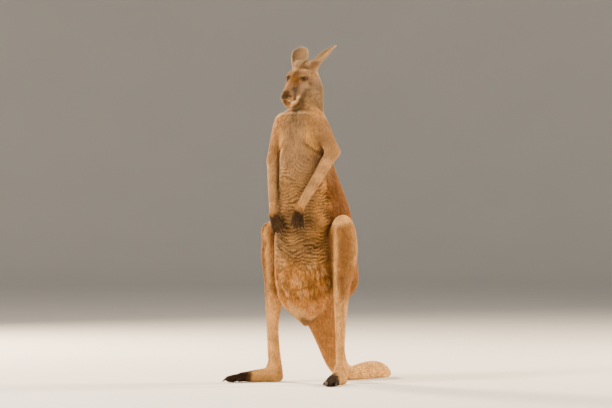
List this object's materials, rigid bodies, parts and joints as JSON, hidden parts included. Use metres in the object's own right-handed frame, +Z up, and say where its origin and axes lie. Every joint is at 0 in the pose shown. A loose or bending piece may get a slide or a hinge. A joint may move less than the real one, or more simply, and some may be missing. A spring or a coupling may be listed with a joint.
{
  "type": "red kangaroo",
  "caption": "Life-size red kangaroo standing upright on its hind feet and tail, hands hanging in front, a still museum model of an adult male.",
  "frame": {"origin": "on the floor, under the middle of the whole animal's box", "axes": "+Z up, -Y the way the animal faces, +X its left side"},
  "size_m": [0.5957, 0.8504, 1.4548],
  "materials": {
    "fur_grey_brown": "short dense coat, matt, grey-brown",
    "fur_rufous": "short dense coat, matt, orange-brown",
    "fur_buff": "short dense coat, matt, tan to buff",
    "fur_cream": "short flat coat, matt, pale cream",
    "fur_dark": "short flat coat, matt, black-brown",
    "eye": "wet and glossy, dark brown",
    "claw": "worn black horn, satin"
  },
  "bodies": {
    "root": {"head": "fur_grey_brown", "neck": "fur_grey_brown", "chest": "fur_grey_brown", "belly": "fur_buff", "tail_root": "fur_rufous", "tail_middle": "fur_cream", "tail_tip": "fur_cream", "ear_left": "fur_grey_brown", "eye_left": "eye", "upper_arm_left": "fur_grey_brown", "forearm_left": "fur_cream", "hand_left": "fur_dark", "thigh_left": "fur_rufous", "shank_left": "fur_cream", "foot_left": "fur_cream", "finger_claw_left_1": "claw", "finger_claw_left_2": "claw", "finger_claw_left_3": "claw", "finger_claw_left_4": "claw", "finger_claw_left_5": "claw", "toe_claw_left_second": "claw", "toe_claw_left_third": "claw", "toe_claw_left_fourth": "claw", "toe_claw_left_fifth": "claw", "ear_right": "fur_grey_brown", "eye_right": "eye", "upper_arm_right": "fur_grey_brown", "forearm_right": "fur_cream", "hand_right": "fur_dark", "thigh_right": "fur_rufous", "shank_right": "fur_cream", "foot_right": "fur_cream", "finger_claw_right_1": "claw", "finger_claw_right_2": "claw", "finger_claw_right_3": "claw", "finger_claw_right_4": "claw", "finger_claw_right_5": "claw", "toe_claw_right_second": "claw", "toe_claw_right_third": "claw", "toe_claw_right_fourth": "claw", "toe_claw_right_fifth": "claw"}
  },
  "joints": []
}
